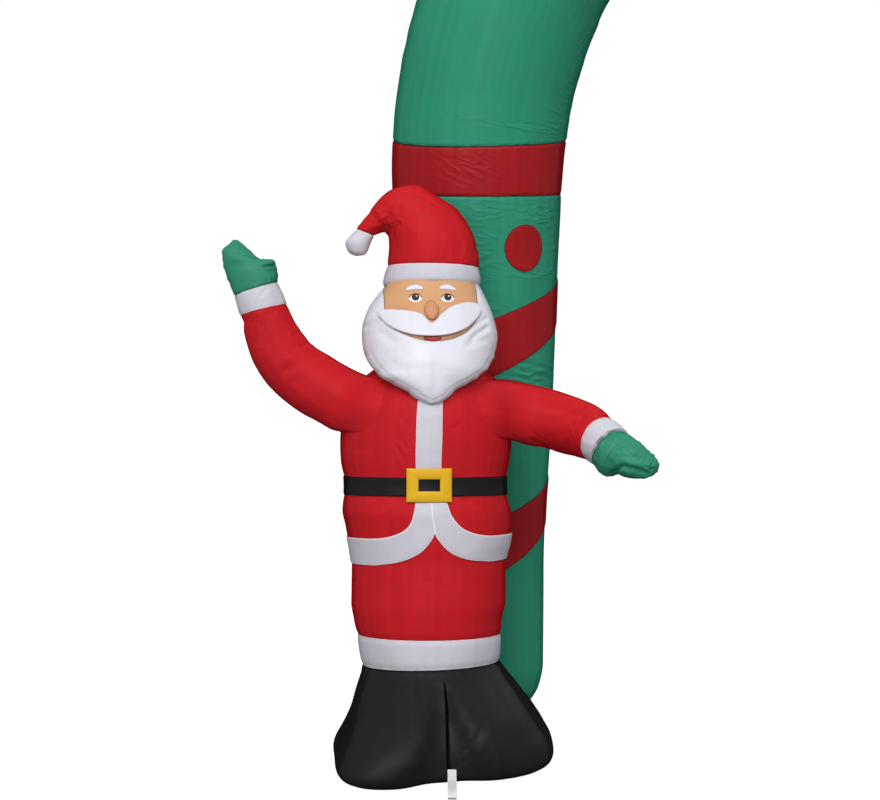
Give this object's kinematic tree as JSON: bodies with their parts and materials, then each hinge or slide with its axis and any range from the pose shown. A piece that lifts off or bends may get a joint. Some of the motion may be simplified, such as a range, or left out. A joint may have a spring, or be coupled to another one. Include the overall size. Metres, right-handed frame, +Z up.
{
  "type": "inflatable arch",
  "caption": "Inflatable walk-through garden arch with banded legs and a leaning, waving Father Christmas figure.",
  "frame": {"origin": "middle of the overall footprint, on the ground", "axes": "+X from the leg with the figure towards the other leg, +Y from the front to the back, +Z up"},
  "size_m": [2.8878, 0.9158, 2.4389],
  "materials": {
    "arch_green": "soft sheen",
    "arch_red": "soft sheen",
    "coat_red": "soft sheen",
    "white_cloth": "soft sheen",
    "beard_white": "satin",
    "black_cloth": "satin",
    "mitten_green": "satin",
    "buckle_yellow": "soft sheen",
    "skin_cloth": "matt",
    "webbing_white": "woven"
  },
  "bodies": {
    "root": {"arch_left_leg": "arch_green", "arch_right_leg": "arch_green", "arch_crown": "arch_green", "arch_ring_left": "arch_red", "arch_ring_right": "arch_red", "arch_band_left": "arch_red", "arch_band_right": "arch_red", "arch_dot_left": "arch_red", "arch_dot_right": "arch_red", "boots": "black_cloth", "belt": "black_cloth", "hem_band": "white_cloth", "coat": "coat_red", "sleeve_waving": "coat_red", "sleeve_low": "coat_red", "hat": "coat_red", "placket": "white_cloth", "jacket_trim_left": "white_cloth", "jacket_trim_right": "white_cloth", "buckle": "buckle_yellow", "cuff_waving": "white_cloth", "cuff_low": "white_cloth", "mitten_waving": "mitten_green", "mitten_low": "mitten_green", "head": "skin_cloth", "nose": "skin_cloth", "beard": "beard_white", "moustache": "beard_white", "hat_brim": "white_cloth", "pompom": "white_cloth", "peg_loop": "webbing_white"}
  },
  "joints": []
}
